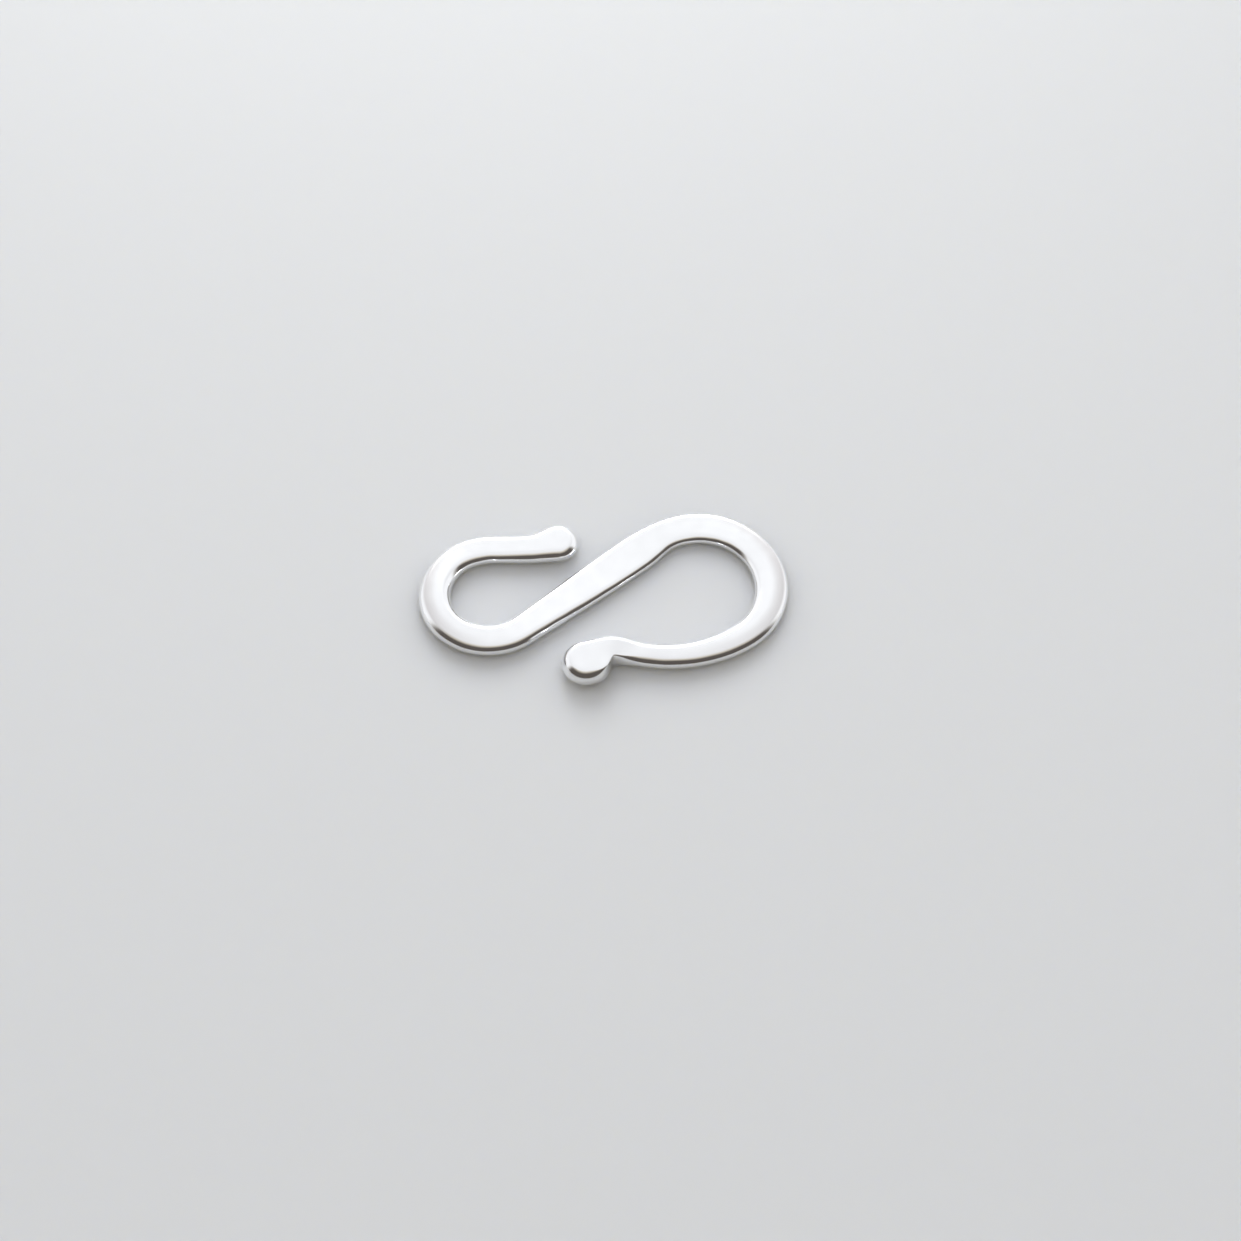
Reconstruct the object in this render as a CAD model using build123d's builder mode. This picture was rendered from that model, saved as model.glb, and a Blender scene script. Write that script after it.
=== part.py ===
from build123d import *
from math import asin, ceil, cos, degrees, pi, radians, sin, sqrt
import os

os.makedirs("parts", exist_ok=True)

# S hook clasp: one length of wire with both ends melted to balls, bent to an S
# and hammered flat on an anvil. Its underside is one plane, and its top rises
# and falls with the hammering. The small hook is at -X and the large one at +X.
# Sizes are in millimetres and degrees.

# Bends, measured to the wire's centre line
bend_spacing = 9.4
small_bend_radius = 2.4
large_bend_radius = 3.23

# Each bend ends in a wider arc, and turns its arm on past level by the lean
small_easing_radius = 3.2
small_easing_turn = 20
small_arm_lean = 2.5
large_easing_radius = 5.8
large_easing_turn = 46
large_arm_lean = 14.5

# Each tip turns outwards again, so that a ring finds its way in
small_flare_radius = 3.7
small_flare = 5
large_flare_radius = 1.6
large_flare = 22

# Mouths, between each ball and the widest part of the diagonal
small_mouth = 0.74
large_mouth = 1.16

# Widths that the hammer gave the wire
small_arm_width = 1.35
small_bend_width = 1.48
middle_width = 1.88
large_bend_width = 1.53
large_arm_width = 1.13

# Thicknesses that it left
small_arm_thickness = 0.56
small_bend_thickness = 0.66
middle_thickness = 0.40
large_bend_thickness = 0.48
large_arm_thickness = 0.64

# Flattened balls, and the hollow arc in the outline where each leaves its arm
small_ball_radius = 0.91
small_ball_thickness = 0.64
small_hollow_radius = 2.6
large_ball_radius = 1.08
large_ball_thickness = 0.88
large_hollow_radius = 0.55

# The wire is widest past the middle of the diagonal, by a share of its half
widest_share = 0.7

# A bend keeps its width from the first to the second share of its arc
small_bend_from = 0.22
small_bend_to = 0.5
large_bend_from = 0.1
large_bend_to = 0.62

# The rounded sides bulge past the flat top by a share of the thickness
side_bulge = 0.33

# The wire is lofted in stretches, from sections this far apart or closer
section_step = 0.7
fewest_steps = 3
shortest_stretch = 0.1

# The sections start a little below the anvil's plane
anvil_depth = 0.03

# The diagonal runs straight from bend to bend and touches both circles
bend_sum = small_bend_radius + large_bend_radius
diagonal_slope = degrees(asin(bend_sum / bend_spacing))
diagonal_length = sqrt(bend_spacing**2 - bend_sum**2)

# The balls are level with the inner edges of their arms and stand out on the other side
small_ball_shift = small_ball_radius - small_arm_width / 2
large_ball_shift = large_ball_radius - large_arm_width / 2


def hook_line(heading, bend, easing, lean, flare, mouth, ball_radius, ball_shift):
    """Centre line of one hook, from the middle of the diagonal out to its tip.

    The bend, easing and flare are each a radius and a turn. The straight arm is as
    long as the ball's place beside the diagonal allows.
    """
    bend_radius = bend
    easing_radius, easing_turn = easing
    flare_radius, flare_turn = flare
    with BuildLine():
        half = PolarLine((0, 0), diagonal_length / 2, heading)
        bend_turn = 180 + diagonal_slope + lean - easing_turn
        bend_arc = JernArc(half @ 1, half % 1, bend_radius, -bend_turn)
        easing_arc = JernArc(bend_arc @ 1, bend_arc % 1, easing_radius, -easing_turn)

    # The ball's centre, outwards and onwards from the end of the straight arm
    turn = radians(flare_turn)
    ball_out = flare_radius * (1 - cos(turn)) + ball_radius * sin(turn) + ball_shift * cos(turn)
    ball_along = (flare_radius - ball_shift) * sin(turn) + ball_radius * cos(turn)

    # The arm closes on the diagonal at this angle until the mouth is left
    closing = radians(diagonal_slope + lean)
    from_diagonal = (easing_arc @ 1).dot((half % 0).rotate(Axis.Z, -90))
    ball_from_diagonal = middle_width / 2 + mouth + ball_radius
    spare = from_diagonal + ball_out * cos(closing) - ball_from_diagonal
    arm_length = spare / sin(closing) - ball_along

    with BuildLine():
        arm = PolarLine(easing_arc @ 1, arm_length, direction=easing_arc % 1)
        flare_arc = JernArc(arm @ 1, arm % 1, flare_radius, flare_turn)
        tip = PolarLine(flare_arc @ 1, ball_radius, direction=flare_arc % 1)
    return [half, bend_arc, easing_arc, arm, flare_arc, tip]


small_line = hook_line(
    diagonal_slope + 180,
    small_bend_radius,
    (small_easing_radius, small_easing_turn),
    small_arm_lean,
    (small_flare_radius, small_flare),
    small_mouth,
    small_ball_radius,
    small_ball_shift,
)
large_line = hook_line(
    diagonal_slope,
    large_bend_radius,
    (large_easing_radius, large_easing_turn),
    large_arm_lean,
    (large_flare_radius, large_flare),
    large_mouth,
    large_ball_radius,
    large_ball_shift,
)

# Places along the wire, below 0 on the small hook and above 0 on the large one
half_length = diagonal_length / 2
small_bend_length = small_line[1].length
large_bend_length = large_line[1].length
small_arm_place = -(half_length + small_bend_length + small_line[2].length)
large_arm_place = half_length + large_bend_length + large_line[2].length
small_tip_place = -sum(edge.length for edge in small_line)
large_tip_place = sum(edge.length for edge in large_line)

width_marks = [
    (small_arm_place, small_arm_width),
    (-half_length - small_bend_length * small_bend_to, small_bend_width),
    (-half_length - small_bend_length * small_bend_from, small_bend_width),
    (half_length * widest_share, middle_width),
    (half_length + large_bend_length * large_bend_from, large_bend_width),
    (half_length + large_bend_length * large_bend_to, large_bend_width),
    (large_arm_place, large_arm_width),
]
thickness_marks = [
    (small_tip_place + small_ball_radius / 2, small_ball_thickness),
    (small_arm_place, small_arm_thickness),
    (-half_length - small_bend_length / 2, small_bend_thickness),
    (half_length * widest_share, middle_thickness),
    (half_length + large_bend_length / 2, large_bend_thickness),
    (large_arm_place, large_arm_thickness),
    (large_tip_place - large_ball_radius / 2, large_ball_thickness),
]


def ease(share):
    """A smooth rise from 0 to 1."""
    return (1 - cos(pi * min(max(share, 0), 1))) / 2


def value_at(place, marks):
    """A width or thickness at a place along the wire, eased from mark to mark."""
    for (start, first), (end, last) in zip(marks, marks[1:]):
        if place <= end:
            return first + (last - first) * ease((place - start) / (end - start))
    return marks[-1][1]


def hollow_ends(arm_half, ball_radius, ball_shift, hollow_radius):
    """How far back from the ball's centre the hollow arc leaves the arm, and meets the ball."""
    to_hollow = ball_radius + hollow_radius
    hollow_back = sqrt(to_hollow**2 - (arm_half + hollow_radius - ball_shift) ** 2)
    return hollow_back, hollow_back * ball_radius / to_hollow


def stand_out(back, arm_half, ball_radius, ball_shift, hollow_radius):
    """How far the ball stands out past the arm's outer edge, back from its centre."""
    hollow_back, ball_back = hollow_ends(arm_half, ball_radius, ball_shift, hollow_radius)
    if back >= hollow_back:
        return 0
    if back > ball_back:
        return hollow_radius - sqrt(hollow_radius**2 - (hollow_back - back) ** 2)
    return ball_shift + sqrt(ball_radius**2 - back**2) - arm_half


def place_on(line, along):
    """The point and the run at a length along a chain of edges."""
    for edge in line[:-1]:
        if along < edge.length:
            return edge @ (along / edge.length), edge % (along / edge.length)
        along -= edge.length
    return line[-1] @ (along / line[-1].length), line[-1] % (along / line[-1].length)


def stretches(line, side, arm_width, ball_radius, ball_shift, hollow_radius):
    """One hook's stretches from the middle outwards.

    A stretch ends where the wire's line or its outline changes from one arc to the
    next, and is a list of sections: point, run, outer reach, inner reach, thickness.
    """
    ball = (arm_width / 2, ball_radius, ball_shift, hollow_radius)
    ends = [sum(edge.length for edge in line[:count]) for count in range(len(line) + 1)]
    length = ends[-1]
    ends += [length - back for back in hollow_ends(*ball)]
    ends.sort()
    ends = [end for end, after in zip(ends, ends[1:]) if after - end > shortest_stretch] + [length]
    found = []
    for start, end in zip(ends, ends[1:]):
        count = max(fewest_steps, ceil((end - start) / section_step))
        sections = []
        for index in range(count + 1):
            along = start + (end - start) * index / count
            half_width = value_at(side * along, width_marks) / 2
            thickness = value_at(side * along, thickness_marks)
            outer = half_width + stand_out(length - along, *ball)
            sections.append((*place_on(line, along), outer, half_width, thickness))
        found.append(sections)
    return found


small_stretches = stretches(
    small_line, -1, small_arm_width, small_ball_radius, small_ball_shift, small_hollow_radius
)
large_stretches = stretches(
    large_line, 1, large_arm_width, large_ball_radius, large_ball_shift, large_hollow_radius
)
all_stretches = small_stretches + large_stretches


def left_of(run):
    """The level direction to the left of the wire's run, which is the outer side of both hooks."""
    return run.rotate(Axis.Z, 90)


# The middle of the outline's box becomes the origin
edge_points = []
for sections in all_stretches:
    for point, run, outer, inner, thick in sections:
        edge_points += [point + left_of(run) * outer, point - left_of(run) * inner]
middle = Vector(
    (min(p.X for p in edge_points) + max(p.X for p in edge_points)) / 2,
    (min(p.Y for p in edge_points) + max(p.Y for p in edge_points)) / 2,
)

with BuildPart() as s_hook:
    # Flat top and bottom between two bulging sides, drawn across the wire
    for sections in all_stretches:
        for point, run, outer, inner, thick in sections:
            bulge = side_bulge * thick
            waist = (thick - anvil_depth) / 2
            with BuildSketch(Plane(origin=point - middle, x_dir=left_of(run), z_dir=run)):
                with BuildLine():
                    top = Line((bulge - inner, thick), (outer - bulge, thick))
                    outer_side = ThreePointArc(top @ 1, (outer, waist), (outer - bulge, -anvil_depth))
                    bottom = Line(outer_side @ 1, (bulge - inner, -anvil_depth))
                    ThreePointArc(bottom @ 1, (-inner, waist), top @ 0)
                make_face()
        loft()

    # The far half of each ball is half of the last section, turned round the ball's centre
    for sections in (small_stretches[-1], large_stretches[-1]):
        point, run, outer, inner, thick = sections[-1]
        ball_radius = (outer + inner) / 2
        ball_centre = point - middle + left_of(run) * (outer - ball_radius)
        bulge = side_bulge * thick
        waist = (thick - anvil_depth) / 2
        with BuildSketch(Plane(origin=ball_centre, x_dir=left_of(run), z_dir=run)):
            with BuildLine():
                top = Line((0, thick), (ball_radius - bulge, thick))
                rim = ThreePointArc(top @ 1, (ball_radius, waist), (ball_radius - bulge, -anvil_depth))
                Polyline(rim @ 1, (0, -anvil_depth), top @ 0)
            make_face()
        revolve(axis=Axis(ball_centre, (0, 0, 1)), revolution_arc=-180)

    # The anvil's flat underside
    split(bisect_by=Plane.XY, keep=Keep.TOP)

s_hook.part.label = "s_hook"
export_step(s_hook.part, "parts/s_hook.step")
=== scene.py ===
"""S hook clasp of hammered silver wire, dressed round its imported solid."""

from math import asin, ceil, cos, pi, radians, sin, sqrt

import bmesh
import bpy
from bpy.props import FloatProperty, FloatVectorProperty, IntProperty, PointerProperty
from bpy.types import Operator, Panel, PropertyGroup
from mathutils import Matrix, Vector, noise


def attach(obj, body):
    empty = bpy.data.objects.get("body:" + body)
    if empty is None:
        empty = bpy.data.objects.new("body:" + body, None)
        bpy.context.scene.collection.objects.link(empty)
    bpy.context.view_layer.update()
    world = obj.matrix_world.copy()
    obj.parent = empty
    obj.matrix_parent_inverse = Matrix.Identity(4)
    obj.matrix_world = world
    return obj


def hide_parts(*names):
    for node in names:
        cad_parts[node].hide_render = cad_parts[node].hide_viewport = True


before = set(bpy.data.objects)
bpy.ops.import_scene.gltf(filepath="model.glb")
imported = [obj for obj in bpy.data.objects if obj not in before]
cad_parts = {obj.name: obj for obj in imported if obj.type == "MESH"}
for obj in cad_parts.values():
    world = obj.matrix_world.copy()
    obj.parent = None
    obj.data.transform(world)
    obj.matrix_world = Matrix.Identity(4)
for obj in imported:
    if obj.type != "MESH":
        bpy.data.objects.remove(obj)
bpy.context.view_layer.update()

bl_info = {
    "name": "S Hook Clasp",
    "version": (1, 0, 0),
    "blender": (4, 5, 0),
    "location": "View3D > Sidebar > Clasp",
    "description": "A flat hammered S hook clasp with a pressed ball at each tip",
    "category": "Add Mesh",
}

MM = 0.001

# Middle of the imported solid's box, a few micrometres off the origin
BOX_MIDDLE = (-0.0075 * MM, -0.006 * MM)
MERGE_DISTANCE = 0.002 * MM

# A vertex of the unit ring lies on a flat above this level, and has no side nearer the middle
FLAT_LEVEL = 0.99
NO_SIDE = 0.01

# Insets of the face's outer rows, in rim widths, and the crease's half width
RIM_ROWS = (0, 0.5, 1, 1.7, 3.2)
CREASE_WIDTH = 0.25

# The hollow at a ball, in parts of the distance from the ball's centre to the hollow's far end
HOLLOW_RISE = 0.75
HOLLOW_END = 1.9

# How fast a bend's outside slope and its painted shade come in from the diagonal and go out before
# the ball
SHOULDER_RISE = 2.5 * MM
SHOULDER_FALL = 1.5 * MM

# Least weight of a bend's outside slope and of its painted shade, where the wire runs from left to
# right, and how far the painted shade reaches across the face
LEAST_SLOPE_AND_SHADE = 0.1
PAINTED_SHADE_REACH = 1.15

# Share of the side's bulge over which the polish comes in
POLISH_REACH = 0.4

# Power that rounds the sides below their widest place
UNDER_SHAPE = 0.5

# Step in the noise that gives the two sides waves of their own
WAVE_STEP = 3.1

# Patterns in the silver, in waves per metre: mottle, strokes along the diagonal, and grain
MOTTLE_SCALE = 1800.0
STROKE_SCALE = (900.0, 9000.0, 3000.0)
STROKE_TURN = radians(-35)
GRAIN_SCALE = 12000.0
MOTTLE_RANGE = (0.3, 0.7)
MOTTLE_ROUGHNESS = 0.01
BUMP_STRENGTH = 0.35
BUMP_DEPTH = 0.0006 * MM

# Floor
FLOOR_REACH = 3.0
FLOOR_GAP = 0.002 * MM
FLOOR_ROUGHNESS = 0.35
FLOOR_SPREAD = (1.0, 0.95, 0.8)

# Where the front sky ends and the back sky begins, from -1 in front to 1 behind
FRONT_END = -0.6
BACK_START = 0.2

# Lamp and camera
LAMP_SIZE = 0.2
LAMP_DISTANCE = 0.5
VIEW_CENTRE = (0.733 * MM, -0.954 * MM, 0)
SENSOR_WIDTH = 36.0
CLIP_START = 0.01
CLIP_END = 10.0

NODE_SPACING = 220


def length(name, description, millimetres):
    """A length property, written in millimetres and kept in metres."""
    return FloatProperty(
        name=name,
        description=description,
        default=millimetres * MM,
        min=0,
        unit="LENGTH",
        precision=5,
    )


def angle(name, description, degrees):
    """An angle property, written in degrees and kept in radians."""
    return FloatProperty(
        name=name,
        description=description,
        default=radians(degrees),
        subtype="ANGLE",
    )


def share(name, description, value):
    """A share between 0 and 1."""
    return FloatProperty(
        name=name,
        description=description,
        default=value,
        min=0,
        max=1,
        subtype="FACTOR",
    )


def number(name, description, value):
    """A plain number."""
    return FloatProperty(name=name, description=description, default=value)


def colour(name, description, value):
    """A colour in linear light."""
    return FloatVectorProperty(
        name=name,
        description=description,
        default=value,
        size=3,
        min=0,
        max=1,
        subtype="COLOR",
    )


class ClaspHook(PropertyGroup):
    """One of the two hooks: its bend, arm, tip and ball."""

    bend_radius: length("Bend radius", "Radius of the bend, to the wire's centre line", 2.4)
    easing_radius: length("Easing radius", "Wider radius in which the bend ends", 3.2)
    easing_turn: angle("Easing turn", "Turn of the wider arc", 20)
    arm_lean: angle("Arm lean", "How far the bend turns its arm past level", 2.5)
    flare_radius: length("Flare radius", "Radius in which the tip turns outwards again", 3.7)
    flare_turn: angle("Flare", "Turn of the tip outwards", 5)
    mouth: length("Mouth", "Gap between the ball and the widest part of the diagonal", 0.74)
    arm_width: length("Arm width", "Width of the arm before its ball", 1.35)
    bend_width: length("Bend width", "Width of the wire in the bend", 1.48)
    arm_thickness: length("Arm thickness", "Thickness of the arm before its ball", 0.56)
    bend_thickness: length("Bend thickness", "Thickness of the wire in the bend", 0.66)
    bend_from: share("Bend width from", "Share of the bend where its width begins", 0.22)
    bend_to: share("Bend width to", "Share of the bend where its width ends", 0.5)
    ball_radius: length("Ball radius", "Radius of the flattened ball", 0.91)
    ball_thickness: length("Ball thickness", "Thickness of the flattened ball", 0.64)
    hollow_radius: length("Hollow radius", "Radius of the hollow between arm and ball", 2.6)
    hollow_share: share("Hollow side", "Share by which the outer side bulges less in the hollow", 0)
    hollow_fill: length("Hollow fill", "How much wider each side is in the hollow", 0)


class ClaspWire(PropertyGroup):
    """What both hooks share, and how finely the wire is made."""

    bend_spacing: length("Bend spacing", "Distance between the centres of the two bends", 9.4)
    middle_width: length("Middle width", "Widest width of the diagonal", 1.88)
    middle_thickness: length("Middle thickness", "Thickness at the widest place", 0.40)
    widest_share: share("Widest place", "Share of the half diagonal where the wire is widest", 0.7)
    side_bulge: share("Side bulge", "Share of the thickness by which the sides bulge", 0.46)
    bulge_limit: length("Bulge limit", "Most that the sides bulge", 0.34)
    side_height: share("Side height", "Share of the thickness where the sides are widest", 0.36)
    side_shape: number("Side shape", "Power that blunts or sharpens the sides' edge", 1.14)
    ring_step: length("Ring spacing", "Distance between the rings along the wire", 0.1)
    cap_steps: IntProperty(name="Side rows", description="Rows round each side", default=8, min=4)
    flat_cuts: IntProperty(name="Face rows", description="Rows across the face", default=13, min=5)
    ball_steps: IntProperty(name="Ball steps", description="Steps round a ball", default=28, min=8)


class ClaspHammering(PropertyGroup):
    """The traces of hammer, file and polishing cloth."""

    rim_width: length("Rim width", "Width of the polished rim along the face", 0.07)
    rim_drop: length("Rim drop", "How far the rim slopes down to the side", 0.012)
    crease_depth: length("Crease depth", "Depth of the crease between rim and face", 0.002)
    shoulder_width: length("Shoulder width", "Width of the slope along the outside of a bend", 0.5)
    shoulder_drop: length("Shoulder drop", "How far that band slopes down", 0.02)
    blow_size: length("Blow size", "Width of one hammer blow", 1.6)
    blow_depth: length("Blow depth", "Depth of the shallow hammer blows", 0.0008)
    wave_size: length("Wave size", "Length of one wave in the sides", 0.9)
    wave_depth: length("Wave depth", "Depth of the waves in the sides", 0.018)


class ClaspFinish(PropertyGroup):
    """Colour and polish of the silver, and the colour of the painted shade on the bends."""

    silver: colour("Silver", "Colour of the polished metal", (0.93, 0.93, 0.935))
    # Painted shade: a darker colour on the outside of the bends, in place of the dimmer reflection
    # there
    shoulder: colour("Shoulder tint", "Colour of the bends' duller side", (0.73, 0.71, 0.705))
    face_roughness: share("Face roughness", "Roughness of the satin face", 0.21)
    rim_roughness: share("Rim roughness", "Roughness of the polished rim and sides", 0.13)


class ClaspStage(PropertyGroup):
    """Floor, light and camera."""

    floor: colour("Floor", "Colour of the plain floor", (0.67, 0.672, 0.675))
    floor_depth: length("Floor depth", "How far light spreads inside the floor", 4.0)
    back_sky: colour("Back sky", "Soft light from behind", (0.84, 0.85, 0.87))
    front_sky: colour("Front sky", "Soft light from in front, low down", (0.66, 0.61, 0.51))
    high_from: angle("High from", "Height where all sides begin to turn alike", 48)
    high_to: angle("High to", "Height from which all sides are as the back sky", 72)
    high_light: share("High light", "How much brighter the sky is there", 0.09)
    dim_sky: colour("Dim sky", "Dim part of the room, low in front", (0.1, 0.088, 0.08))
    dim_from: angle("Dim from", "Height where the dim part begins to fade", 34)
    dim_to: angle("Dim to", "Height where the dim part has faded", 58)
    dim_turn: angle("Dim turn", "Turn to either side where it begins to fade", 72)
    dim_fade: angle("Dim fade", "Turn over which it fades to either side", 24)
    glow: share("Glow", "How much brighter the sky behind is near the horizon", 0.2)
    glow_from: angle("Glow from", "Height where the glow begins to fade", 28)
    glow_to: angle("Glow to", "Height where the glow has faded", 52)
    lamp_colour: colour("Lamp colour", "Colour of the lamp", (0.95, 0.98, 1.0))
    lamp_share: share("Lamp share", "Share of white light that the lamp gives the floor", 0.38)
    lamp_height: angle("Lamp height", "Height of the lamp above the horizon", 27)
    elevation: angle("Camera elevation", "Height of the camera above the table's plane", 57)
    turn: angle("Camera turn", "Turn of the camera round the clasp", -2.5)
    picture_width: length("Picture width", "Width of the picture at the clasp", 55.16)
    lens: number("Lens", "Focal length in millimetres", 135.0)


GROUPS = (ClaspHook, ClaspWire, ClaspHammering, ClaspFinish, ClaspStage)

# Sizes of the large hook, where they differ from the small hook's defaults
LARGE_HOOK_LENGTHS = {
    "bend_radius": 3.23,
    "easing_radius": 5.8,
    "flare_radius": 1.6,
    "mouth": 1.16,
    "arm_width": 1.13,
    "bend_width": 1.53,
    "arm_thickness": 0.64,
    "bend_thickness": 0.48,
    "ball_radius": 1.08,
    "ball_thickness": 0.88,
    "hollow_radius": 0.55,
    "hollow_fill": 0.09,
}
LARGE_HOOK_ANGLES = {"easing_turn": 46, "arm_lean": 14.5, "flare_turn": 22}
LARGE_HOOK_SHARES = {"bend_from": 0.1, "bend_to": 0.62, "hollow_share": 0.7}


class Wire:
    """Centre line, widths and thicknesses of the S, from its named sizes."""

    def __init__(self, small, large, sizes):
        self.sizes = sizes
        bend_sum = small.bend_radius + large.bend_radius
        self.slope = asin(bend_sum / sizes.bend_spacing)
        self.half = sqrt(sizes.bend_spacing**2 - bend_sum**2) / 2
        self.small = Hook(small, self, -1)
        self.large = Hook(large, self, 1)
        self.widths = self.marks("width")
        self.thicknesses = self.marks("thickness")

    def marks(self, kind):
        """Places along the wire with their width or thickness, from small tip to large tip."""
        small, large = self.small, self.large
        middle = (self.half * self.sizes.widest_share, getattr(self.sizes, "middle_" + kind))
        if kind == "width":
            return [*small.width_marks()[::-1], middle, *large.width_marks()]
        return [*small.thickness_marks()[::-1], middle, *large.thickness_marks()]

    def value_at(self, place, marks):
        """A width or thickness at a place along the wire, eased from mark to mark."""
        if place <= marks[0][0]:
            return marks[0][1]
        for (start, first), (end, last) in zip(marks, marks[1:]):
            if place <= end:
                return first + (last - first) * (1 - cos(pi * (place - start) / (end - start))) / 2
        return marks[-1][1]


class Hook:
    """One hook: arcs from the middle of the diagonal out to the centre of its ball."""

    def __init__(self, sizes, wire, side):
        self.sizes, self.wire, self.side = sizes, wire, side
        self.heading = wire.slope if side > 0 else wire.slope + pi
        self.ball_shift = sizes.ball_radius - sizes.arm_width / 2
        bend_turn = pi + wire.slope + sizes.arm_lean - sizes.easing_turn
        self.arcs = [
            (wire.half, 0),
            (bend_turn * sizes.bend_radius, -1 / sizes.bend_radius),
            (sizes.easing_turn * sizes.easing_radius, -1 / sizes.easing_radius),
        ]
        self.bend_end = wire.half + self.arcs[1][0]
        self.arm_start = self.bend_end + self.arcs[2][0]
        self.arcs.append((self.arm_length(), 0))
        self.arcs.append((sizes.flare_turn * sizes.flare_radius, 1 / sizes.flare_radius))
        self.arcs.append((sizes.ball_radius, 0))
        self.length = sum(arc for arc, curvature in self.arcs)

    def arm_length(self):
        """Length of the straight arm that leaves the mouth between ball and diagonal."""
        sizes, turn = self.sizes, self.sizes.flare_turn
        out = sizes.flare_radius * (1 - cos(turn))
        out += sizes.ball_radius * sin(turn) + self.ball_shift * cos(turn)
        onward = (sizes.flare_radius - self.ball_shift) * sin(turn) + sizes.ball_radius * cos(turn)
        closing = self.wire.slope + sizes.arm_lean
        arm_point = self.place_at(self.arm_start)[0]
        away = arm_point.dot(Vector((sin(self.heading), -cos(self.heading))))
        ball_away = self.wire.sizes.middle_width / 2 + sizes.mouth + sizes.ball_radius
        return (away + out * cos(closing) - ball_away) / sin(closing) - onward

    def place_at(self, along):
        """Point and heading at a length along the arcs."""
        point, heading = Vector((0, 0)), self.heading
        for arc, curvature in self.arcs:
            step = min(along, arc)
            turn = step * curvature
            chord = 2 * sin(turn / 2) / curvature if curvature else step
            point += chord * Vector((cos(heading + turn / 2), sin(heading + turn / 2)))
            heading += turn
            along -= step
        return point, heading

    def width_marks(self):
        """Places and widths of this hook, outwards."""
        sizes, start = self.sizes, self.wire.half
        bend = self.bend_end - start
        places = (start + bend * sizes.bend_from, start + bend * sizes.bend_to, self.arm_start)
        widths = (sizes.bend_width, sizes.bend_width, sizes.arm_width)
        return [(self.side * place, width) for place, width in zip(places, widths)]

    def thickness_marks(self):
        """Places and thicknesses of this hook, outwards."""
        sizes = self.sizes
        bend_middle = (self.wire.half + self.bend_end) / 2
        places = (bend_middle, self.arm_start, self.length - sizes.ball_radius / 2)
        thicknesses = (sizes.bend_thickness, sizes.arm_thickness, sizes.ball_thickness)
        return [(self.side * place, thickness) for place, thickness in zip(places, thicknesses)]

    def hollow_back(self):
        """How far back from the ball's centre the hollow leaves the arm."""
        sizes = self.sizes
        to_hollow = sizes.ball_radius + sizes.hollow_radius
        across = sizes.arm_width / 2 + sizes.hollow_radius - self.ball_shift
        return sqrt(to_hollow**2 - across**2)

    def ball_stands_out(self, back):
        """How far the ball stands out past the arm's outer edge, back from its centre."""
        sizes = self.sizes
        arm_half, ball, hollow = sizes.arm_width / 2, sizes.ball_radius, sizes.hollow_radius
        hollow_back = self.hollow_back()
        if back >= hollow_back:
            return 0
        if back > hollow_back * ball / (ball + hollow):
            return hollow - sqrt(hollow**2 - (hollow_back - back) ** 2)
        return self.ball_shift + sqrt(ball**2 - back**2) - arm_half

    def section_at(self, along):
        """Section at a length along this hook: its place, reaches, thickness and shares."""
        point, heading = self.place_at(along)
        outward = Vector((-sin(heading), cos(heading)))
        half_width = self.wire.value_at(self.side * along, self.wire.widths) / 2
        thickness = self.wire.value_at(self.side * along, self.wire.thicknesses)
        in_hollow = self.hollow_part(self.length - along)
        fill = in_hollow * self.sizes.hollow_fill
        return {
            "place": self.side * along,
            "point": point,
            "outward": outward,
            "outer": half_width + self.ball_stands_out(self.length - along) + fill,
            "inner": half_width + fill,
            "thickness": thickness,
            "bend": self.bend_share(along),
            "hollow": in_hollow * self.sizes.hollow_share,
        }

    def hollow_part(self, back):
        """How much of the hollow a place has: 1 in it, 0 on the ball's centre and on the arm."""
        hollow_back = self.hollow_back()
        rise = smooth(back / (HOLLOW_RISE * hollow_back))
        return rise * smooth((HOLLOW_END * hollow_back - back) / hollow_back)

    def bend_share(self, along):
        """How much of a bend's outside slope and painted shade a place has: 0 on the diagonal and
        the ball.
        """
        start, end = self.wire.half, self.length - 2 * self.sizes.ball_radius
        return smooth(min((along - start) / SHOULDER_RISE, (end - along) / SHOULDER_FALL))


def smooth(value):
    """A smooth rise from 0 to 1."""
    value = min(max(value, 0), 1)
    return value * value * (3 - 2 * value)


def unit_ring(bm, cap_steps, flat_cuts):
    """A ring for the section, with a list of what each of its vertices stands for.

    Two half circles are moved apart and rows are added on the flats. A vertex has a
    side, a row counted inwards from the edge of the flat, a reach over the side's
    bulge and a height from -1 to 1.
    """
    circle = bmesh.ops.create_circle(bm, segments=2 * cap_steps, radius=1)["verts"]
    step = pi / cap_steps
    bmesh.ops.rotate(bm, verts=circle, cent=(0, 0, 0), matrix=Matrix.Rotation(step / 2, 3, "Z"))
    bmesh.ops.scale(bm, verts=circle, vec=(1, 1 / cos(step / 2), 1))
    for side in (-1, 1):
        half = [vertex for vertex in circle if vertex.co.x * side > 0]
        bmesh.ops.translate(bm, verts=half, vec=(side, 0, 0))
    flats = [edge for edge in bm.edges if edge.calc_length() > 1]
    bmesh.ops.subdivide_edges(bm, edges=flats, cuts=flat_cuts)
    place = bm.verts.layers.int.new("profile")
    start = sin(step / 2)
    profile = []
    for index, vertex in enumerate(bm.verts):
        vertex[place] = index
        across = abs(vertex.co.x)
        side = 0 if across < NO_SIDE else vertex.co.x / across
        if abs(vertex.co.y) > FLAT_LEVEL:
            row = round((1 - across / (1 + start)) * (flat_cuts + 1) / 2)
            profile.append((side, row, 0, round(vertex.co.y)))
        else:
            profile.append((side, 0, (across - 1 - start) / (1 - start), vertex.co.y))
    return profile, place


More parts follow.
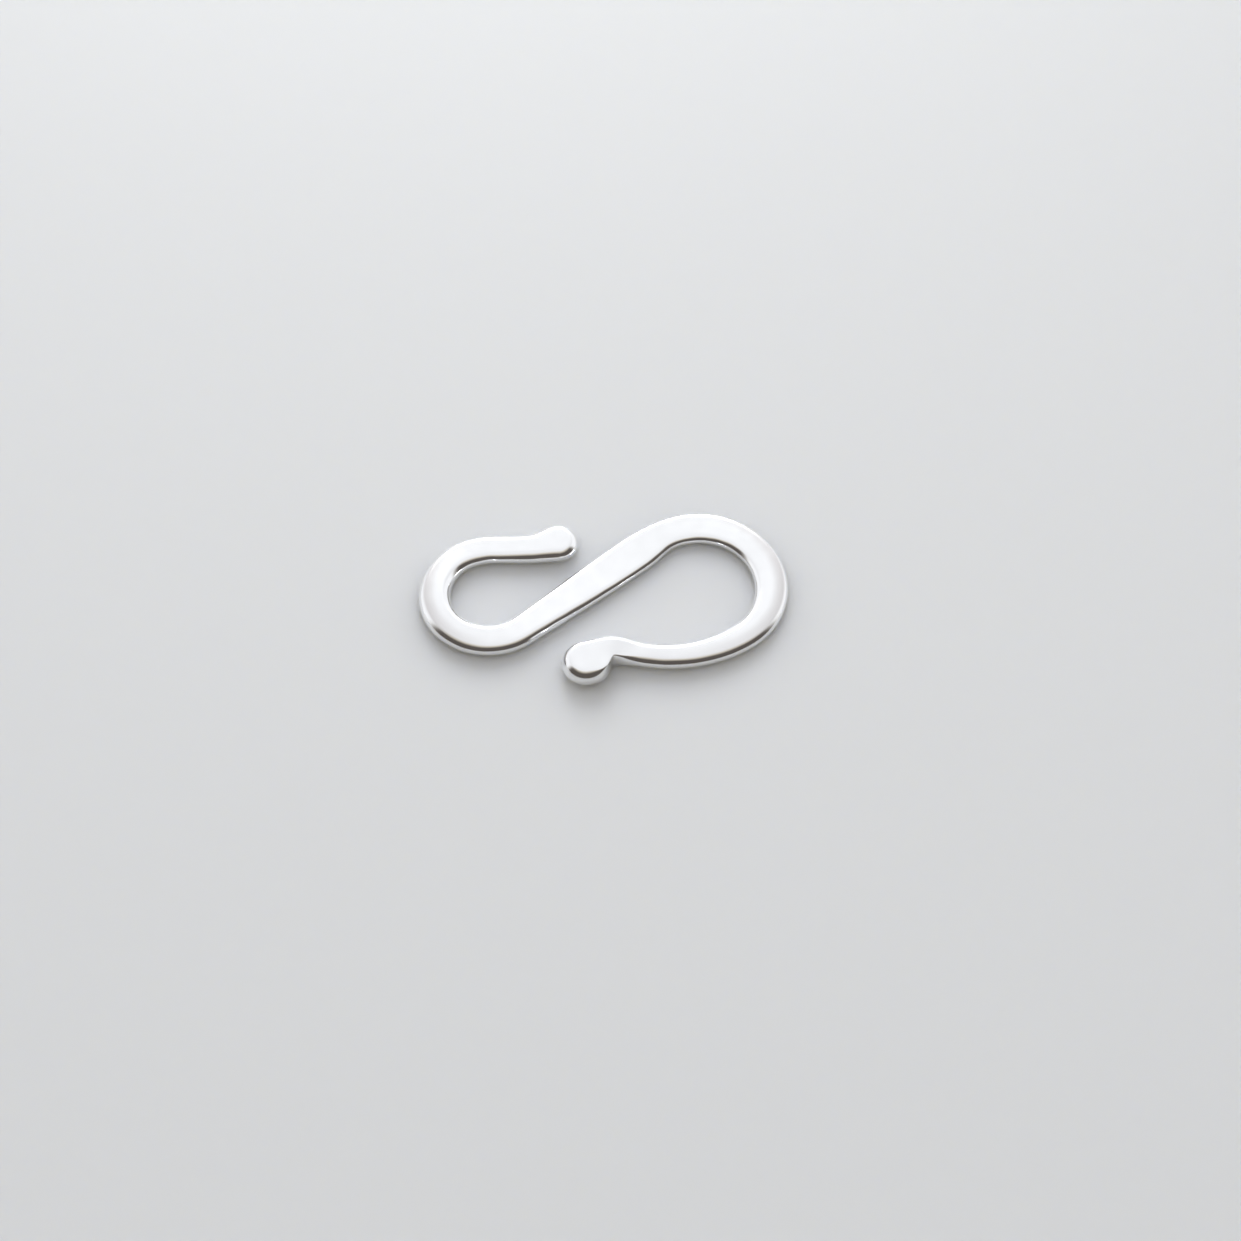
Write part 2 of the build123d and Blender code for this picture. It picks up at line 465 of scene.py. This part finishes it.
def row_inset(row, half_width, half_rows, hammering):
    """Distance of a row of the face from the edge of the face."""
    insets = [width * hammering.rim_width for width in RIM_ROWS]
    if row < len(insets):
        return min(insets[row], half_width * row / half_rows)
    last = len(insets) - 1
    rest = half_width - min(insets[last], half_width * last / half_rows)
    return half_width - rest * (half_rows - row) / (half_rows - last)


def face_drop(inset, from_outer, slope_and_shade, hammering):
    """How far the face lies below the wire's full thickness."""
    rims = inset / hammering.rim_width
    rim = hammering.rim_drop * (1 - min(rims, 1))
    crease = hammering.crease_depth * max(0, 1 - abs(rims - 1) / CREASE_WIDTH)
    slope = smooth(1 - from_outer / hammering.shoulder_width)
    return rim + crease + slope_and_shade * hammering.shoulder_drop * slope


def blow_drop(point, hammering):
    """Depth of the hammer blows at a point of the face."""
    near = Vector((point.x, point.y, 0)) / hammering.blow_size
    return hammering.blow_depth * (0.5 + 0.5 * noise.noise(near))


def place_ring(ring, profile, layers, section, wire, hammering):
    """Lay a ring of the bmesh on a section of the wire."""
    # In the hollow the outer side bulges less, so that the face runs on into the ball
    bulge = min(wire.side_bulge * section["thickness"], wire.bulge_limit)
    bulges = {0: bulge, -1: bulge, 1: bulge * (1 - section["hollow"])}
    flat_outer, flat_inner = section["outer"] - bulges[1], section["inner"] - bulges[-1]
    # Weight of the bend's outside slope and of the painted shade on it, most where the bend's
    # outside faces left or right
    slope_and_shade = section["bend"] * (LEAST_SLOPE_AND_SHADE + (1 - LEAST_SLOPE_AND_SHADE) * abs(section["outward"].x))
    waist = wire.side_height
    wave_place = section["place"] / hammering.wave_size
    half_width = (flat_outer + flat_inner) / 2
    centre = (flat_outer - flat_inner) / 2
    for vertex in ring:
        side, row, reach, up = profile[vertex[layers["profile"]]]
        inset = row_inset(row, half_width, (wire.flat_cuts + 1) / 2, hammering)
        lateral = side * (half_width - inset)
        from_outer = half_width - lateral
        wave = hammering.wave_depth * noise.noise(Vector((wave_place, side * WAVE_STEP, up)))
        over = reach ** (wire.side_shape if up > 0 else UNDER_SHAPE)
        lateral += side * over * (bulges[round(side)] - abs(wave))
        point = section["point"] + section["outward"] * (centre + lateral)
        top = section["thickness"] - face_drop(inset, from_outer, slope_and_shade, hammering)
        if up > 0:
            top -= blow_drop(point, hammering) * (1 - reach)
        height = waist + (1 - waist) * up**wire.side_shape if up > 0 else waist + waist * up
        vertex.co = (point.x, point.y, top * height)
        vertex[layers["polish"]] = smooth(reach / POLISH_REACH) if up > 0 else 1
        # Painted shade on the outside of the bends, fading in across the face from the outer edge
        tint = smooth(PAINTED_SHADE_REACH - from_outer / hammering.shoulder_width)
        vertex[layers["shoulder"]] = slope_and_shade * tint


def sweep_hook(bm, ring_edges, hook, profile, layers, wire, hammering):
    """Extrude the ring along one hook and turn the half ball on its end."""
    count = ceil(hook.length / wire.ring_step)
    for index in range(1, count + 1):
        extruded = bmesh.ops.extrude_edge_only(bm, edges=ring_edges)["geom"]
        ring = [item for item in extruded if isinstance(item, bmesh.types.BMVert)]
        members = set(ring)
        ring_edges = [
            item for item in extruded
            if isinstance(item, bmesh.types.BMEdge) and set(item.verts) <= members
        ]
        section = hook.section_at(hook.length * index / count)
        place_ring(ring, profile, layers, section, wire, hammering)
    turn_ball(bm, ring_edges, section, profile, layers, wire)


def turn_ball(bm, ring_edges, section, profile, layers, wire):
    """Spin the outer half of the last ring round the ball's upright axis."""
    outer = [
        edge for edge in ring_edges
        if all(profile[vertex[layers["profile"]]][0] >= 0 for vertex in edge.verts)
    ]
    centre = section["point"] + section["outward"] * (section["outer"] - section["inner"]) / 2
    bmesh.ops.spin(
        bm,
        geom=outer,
        cent=(centre.x, centre.y, 0),
        axis=(0, 0, 1),
        angle=-pi,
        steps=wire.ball_steps,
        use_merge=False,
    )


def hook_mesh(clasp):
    """The clasp's mesh, swept from the middle of the diagonal to both tips."""
    hammering = clasp.hammering
    bm = bmesh.new()
    # Per-vertex polish, and the weight of the painted shade on the outside of the bends
    layers = {name: bm.verts.layers.float.new(name) for name in ("polish", "shoulder")}
    profile, layers["profile"] = unit_ring(bm, clasp.wire.cap_steps, clasp.wire.flat_cuts)
    wire = Wire(clasp.small_hook, clasp.large_hook, clasp.wire)
    first_edges = list(bm.edges)
    place_ring(list(bm.verts), profile, layers, wire.large.section_at(0), clasp.wire, hammering)
    sweep_hook(bm, first_edges, wire.large, profile, layers, clasp.wire, hammering)

    # The small hook starts from a second ring, turned round to face the other way
    other = bmesh.ops.duplicate(bm, geom=first_edges)["geom"]
    ring = [item for item in other if isinstance(item, bmesh.types.BMVert)]
    ring_edges = [item for item in other if isinstance(item, bmesh.types.BMEdge)]
    place_ring(ring, profile, layers, wire.small.section_at(0), clasp.wire, hammering)
    sweep_hook(bm, ring_edges, wire.small, profile, layers, clasp.wire, hammering)

    bmesh.ops.remove_doubles(bm, verts=bm.verts, dist=MERGE_DISTANCE)

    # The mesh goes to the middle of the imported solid's box, and stays inside it
    lows = Vector(min(vertex.co[axis] for vertex in bm.verts) for axis in range(3))
    highs = Vector(max(vertex.co[axis] for vertex in bm.verts) for axis in range(3))
    middle = (lows + highs) / 2
    to_box = (BOX_MIDDLE[0] - middle.x, BOX_MIDDLE[1] - middle.y, -lows.z)
    bmesh.ops.translate(bm, verts=bm.verts, vec=to_box)
    bmesh.ops.recalc_face_normals(bm, faces=bm.faces)
    for face in bm.faces:
        face.smooth = True
    bm.verts.layers.int.remove(layers["profile"])
    mesh = bpy.data.meshes.new("silver_s_hook")
    bm.to_mesh(mesh)
    bm.free()
    return mesh


class Nodes:
    """A small helper that adds and links nodes from left to right."""

    def __init__(self, tree):
        self.tree = tree
        self.column = 0

    def add(self, kind, values=None, **settings):
        """Add a node, set its attributes, and set or link its inputs."""
        node = self.tree.nodes.new(kind)
        node.location = (NODE_SPACING * self.column, 0)
        self.column += 1
        for name, value in settings.items():
            setattr(node, name, value)
        for name, value in (values or {}).items():
            if isinstance(value, bpy.types.NodeSocket):
                self.tree.links.new(value, node.inputs[name])
            else:
                node.inputs[name].default_value = value
        return node

    def ramp(self, value, start, end, low=0.0, high=1.0):
        """A smooth ramp of a value from low at start to high at end."""
        values = {
            "Value": value,
            "From Min": start,
            "From Max": end,
            "To Min": low,
            "To Max": high,
        }
        node = self.add("ShaderNodeMapRange", values, interpolation_type="SMOOTHSTEP")
        return node.outputs["Result"]

    def mix_colours(self, factor, first, second):
        """A colour between two colours."""
        node = self.add("ShaderNodeMix", data_type="RGBA")
        for name, value in (("Factor", factor), ("A", first), ("B", second)):
            kind = "VALUE" if name == "Factor" else "RGBA"
            socket = next(item for item in node.inputs if item.name == name and item.type == kind)
            if isinstance(value, bpy.types.NodeSocket):
                self.tree.links.new(value, socket)
            else:
                socket.default_value = value
        return next(socket for socket in node.outputs if socket.type == "RGBA")


def silver_material(finish):
    """Satin silver with a brushed face, a polished rim and painted shade on the outside of the
    bends.
    """
    material = bpy.data.materials.new("satin_silver")
    material.use_nodes = True
    material.node_tree.nodes.clear()
    nodes = Nodes(material.node_tree)
    where = nodes.add("ShaderNodeTexCoord").outputs["Object"]
    polish = nodes.add("ShaderNodeAttribute", attribute_name="polish").outputs["Fac"]
    # Weight of the painted shade on the outside of the bends
    shoulder = nodes.add("ShaderNodeAttribute", attribute_name="shoulder").outputs["Fac"]

    # Faint mottling of the face, fine strokes along the diagonal, and grain
    mottle = nodes.add(
        "ShaderNodeTexNoise",
        {"Vector": where, "Scale": MOTTLE_SCALE, "Detail": 2.0, "Roughness": 0.5},
    ).outputs["Fac"]
    along = nodes.add(
        "ShaderNodeMapping",
        {"Vector": where, "Rotation": (0, 0, STROKE_TURN), "Scale": STROKE_SCALE},
    ).outputs["Vector"]
    strokes = nodes.add(
        "ShaderNodeTexNoise",
        {"Vector": along, "Scale": 1.0, "Detail": 4.0},
    ).outputs["Fac"]
    grain = nodes.add(
        "ShaderNodeTexNoise",
        {"Vector": where, "Scale": GRAIN_SCALE, "Detail": 3.0},
    ).outputs["Fac"]

    # The face is rougher than the rim and the sides
    rough_face = nodes.add(
        "ShaderNodeMapRange",
        {
            "Value": mottle,
            "From Min": MOTTLE_RANGE[0],
            "From Max": MOTTLE_RANGE[1],
            "To Min": finish.face_roughness - MOTTLE_ROUGHNESS,
            "To Max": finish.face_roughness + MOTTLE_ROUGHNESS,
        },
    ).outputs["Result"]
    roughness = nodes.add(
        "ShaderNodeMix",
        {"Factor": polish, "A": rough_face, "B": finish.rim_roughness},
    ).outputs["Result"]

    # Painted shade on the outside of the bends, a darker colour standing in for the dimmer
    # surroundings reflected there, but not on their polished rim
    off_rim = nodes.add("ShaderNodeMath", {0: 1.0, 1: polish}, operation="SUBTRACT").outputs[0]
    painted_shade_weight = nodes.add("ShaderNodeMath", {0: shoulder, 1: off_rim}, operation="MULTIPLY").outputs[0]
    tint = nodes.mix_colours(painted_shade_weight, (*finish.silver, 1), (*finish.shoulder, 1))

    height = nodes.add("ShaderNodeMath", {0: strokes, 1: grain}, operation="ADD").outputs[0]
    bump = nodes.add(
        "ShaderNodeBump",
        {"Height": height, "Strength": BUMP_STRENGTH, "Distance": BUMP_DEPTH},
    )
    shader = nodes.add(
        "ShaderNodeBsdfPrincipled",
        {
            "Base Color": tint,
            "Roughness": roughness,
            "Normal": bump.outputs["Normal"],
            "Metallic": 1.0,
        },
    )
    nodes.add("ShaderNodeOutputMaterial", {"Surface": shader.outputs["BSDF"]})
    return material


def floor_material(stage):
    """Plain pale floor into which a little light spreads."""
    material = bpy.data.materials.new("plain_floor")
    material.use_nodes = True
    material.node_tree.nodes.clear()
    nodes = Nodes(material.node_tree)
    shader = nodes.add(
        "ShaderNodeBsdfPrincipled",
        {
            "Base Color": (*stage.floor, 1),
            "Roughness": FLOOR_ROUGHNESS,
            "Subsurface Weight": 1.0,
            "Subsurface Radius": FLOOR_SPREAD,
            "Subsurface Scale": stage.floor_depth,
        },
    )
    nodes.add("ShaderNodeOutputMaterial", {"Surface": shader.outputs["BSDF"]})
    return material


def studio_world(stage):
    """Soft light from all round: cooler behind, warmer in front, with a dim room low in front."""
    world = bpy.data.worlds.new("soft_studio")
    bpy.context.scene.world = world
    world.use_nodes = True
    world.node_tree.nodes.clear()
    nodes = Nodes(world.node_tree)

    # How far a direction points to the back, and how high
    towards = nodes.add("ShaderNodeTexCoord").outputs["Generated"]
    level = nodes.add(
        "ShaderNodeVectorMath", {0: towards, 1: (1, 1, 0)}, operation="MULTIPLY"
    ).outputs[0]
    level = nodes.add("ShaderNodeVectorMath", {0: level}, operation="NORMALIZE").outputs[0]
    turned = nodes.add("ShaderNodeSeparateXYZ", {"Vector": level}).outputs["Y"]
    height = nodes.add("ShaderNodeSeparateXYZ", {"Vector": towards}).outputs["Z"]

    # The parts of the sky
    behind = nodes.ramp(turned, FRONT_END, BACK_START)
    high = nodes.ramp(height, sin(stage.high_from), sin(stage.high_to))
    back = nodes.add("ShaderNodeMath", {0: behind, 1: high}, operation="MAXIMUM").outputs[0]
    low = nodes.ramp(height, sin(stage.dim_to), sin(stage.dim_from))
    ahead = nodes.ramp(turned, -cos(stage.dim_turn + stage.dim_fade), -cos(stage.dim_turn))
    dim = nodes.add("ShaderNodeMath", {0: low, 1: ahead}, operation="MULTIPLY").outputs[0]

    # Their colours and strength
    sky = nodes.mix_colours(back, (*stage.front_sky, 1), (*stage.back_sky, 1))
    sky = nodes.mix_colours(dim, sky, (*stage.dim_sky, 1))
    glow = nodes.ramp(height, sin(stage.glow_to), sin(stage.glow_from), 0.0, stage.glow)
    strength = nodes.add(
        "ShaderNodeMath", {0: glow, 1: behind, 2: 1.0}, operation="MULTIPLY_ADD"
    ).outputs[0]
    strength = nodes.add(
        "ShaderNodeMath", {0: high, 1: stage.high_light, 2: strength}, operation="MULTIPLY_ADD"
    ).outputs[0]
    light = nodes.add("ShaderNodeBackground", {"Color": sky, "Strength": strength})
    nodes.add("ShaderNodeOutputWorld", {"Surface": light.outputs["Background"]})


class CLASP_OT_silver_hook(Operator):
    """Make the hammered silver S hook"""

    bl_idname = "clasp.silver_hook"
    bl_label = "Silver S Hook"
    bl_options = {"REGISTER", "UNDO"}

    def execute(self, context):
        clasp = context.scene.clasp
        mesh = hook_mesh(clasp)
        mesh.materials.append(silver_material(clasp.finish))
        piece = bpy.data.objects.new("silver_s_hook", mesh)
        context.scene.collection.objects.link(piece)
        smoothing = piece.modifiers.new("Smoothing", "SUBSURF")
        smoothing.levels = 1
        smoothing.render_levels = 1
        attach(piece, "root")
        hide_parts("s_hook")
        return {"FINISHED"}


class CLASP_OT_stage(Operator):
    """Make the floor, the light and the camera"""

    bl_idname = "clasp.stage"
    bl_label = "Stage"
    bl_options = {"REGISTER", "UNDO"}

    def execute(self, context):
        stage = context.scene.clasp.stage
        self.add_floor(context, stage)
        studio_world(stage)
        self.add_lamp(context, stage)
        self.add_camera(context, stage)
        context.scene.view_settings.view_transform = "Standard"
        return {"FINISHED"}

    def add_floor(self, context, stage):
        """A wide square floor just under the clasp."""
        bm = bmesh.new()
        bmesh.ops.create_grid(bm, x_segments=1, y_segments=1, size=FLOOR_REACH)
        bmesh.ops.translate(bm, verts=bm.verts, vec=(0, 0, -FLOOR_GAP))
        mesh = bpy.data.meshes.new("floor")
        bm.to_mesh(mesh)
        bm.free()
        mesh.materials.append(floor_material(stage))
        floor = bpy.data.objects.new("floor", mesh)
        context.scene.collection.objects.link(floor)

    def add_lamp(self, context, stage):
        """A square lamp straight behind, whose shadows fall towards the camera."""
        lamp = bpy.data.lights.new("back_lamp", "AREA")
        lamp.shape = "SQUARE"
        lamp.size = LAMP_SIZE
        lamp.color = stage.lamp_colour
        lamp.energy = stage.lamp_share * pi**2 * LAMP_DISTANCE**2 / sin(stage.lamp_height)
        away = Vector((0, cos(stage.lamp_height), sin(stage.lamp_height)))
        holder = bpy.data.objects.new("back_lamp", lamp)
        holder.location = away * LAMP_DISTANCE
        holder.rotation_euler = away.to_track_quat("Z", "Y").to_euler()
        context.scene.collection.objects.link(holder)

    def add_camera(self, context, stage):
        """The photograph's view, from above and in front."""
        camera = bpy.data.cameras.new("camera")
        camera.lens = stage.lens
        camera.sensor_width = SENSOR_WIDTH
        distance = stage.picture_width * stage.lens / camera.sensor_width
        turn = Matrix.Rotation(stage.turn, 3, "Z")
        target = turn @ Vector(VIEW_CENTRE)
        towards = turn @ Vector((0, -cos(stage.elevation), sin(stage.elevation)))
        holder = bpy.data.objects.new("camera", camera)
        holder.location = target + towards * distance
        holder.rotation_euler = towards.to_track_quat("Z", "Y").to_euler()
        camera.clip_start = CLIP_START
        camera.clip_end = CLIP_END
        context.scene.collection.objects.link(holder)
        context.scene.camera = holder


class Clasp(PropertyGroup):
    """All settings of the clasp and its stage."""

    small_hook: PointerProperty(type=ClaspHook)
    large_hook: PointerProperty(type=ClaspHook)
    wire: PointerProperty(type=ClaspWire)
    hammering: PointerProperty(type=ClaspHammering)
    finish: PointerProperty(type=ClaspFinish)
    stage: PointerProperty(type=ClaspStage)


class CLASP_PT_panel(Panel):
    """Sizes, finish and stage of the clasp"""

    bl_idname = "CLASP_PT_panel"
    bl_label = "S Hook Clasp"
    bl_space_type = "VIEW_3D"
    bl_region_type = "UI"
    bl_category = "Clasp"

    def draw(self, context):
        clasp = context.scene.clasp
        self.layout.operator("clasp.silver_hook")
        self.layout.operator("clasp.stage")
        for name in ("small_hook", "large_hook", "wire", "hammering", "finish", "stage"):
            box = self.layout.box()
            box.label(text=name.replace("_", " ").capitalize())
            group = getattr(clasp, name)
            for prop in group.bl_rna.properties:
                if prop.identifier not in ("rna_type", "name"):
                    box.prop(group, prop.identifier)


CLASSES = (*GROUPS, Clasp, CLASP_OT_silver_hook, CLASP_OT_stage, CLASP_PT_panel)


def register():
    """Register the classes and the clasp's settings."""
    for item in CLASSES:
        bpy.utils.register_class(item)
    bpy.types.Scene.clasp = PointerProperty(type=Clasp)


def unregister():
    """Take the settings and the classes away again."""
    del bpy.types.Scene.clasp
    for item in reversed(CLASSES):
        bpy.utils.unregister_class(item)


def set_large_hook(large):
    """Give the large hook its own sizes."""
    for name, value in LARGE_HOOK_LENGTHS.items():
        setattr(large, name, value * MM)
    for name, value in LARGE_HOOK_ANGLES.items():
        setattr(large, name, radians(value))
    for name, value in LARGE_HOOK_SHARES.items():
        setattr(large, name, value)


def main():
    """Make the clasp and its stage."""
    register()
    set_large_hook(bpy.context.scene.clasp.large_hook)
    bpy.ops.clasp.silver_hook()
    bpy.ops.clasp.stage()
    bpy.context.view_layer.update()


if __name__ == "__main__":
    main()
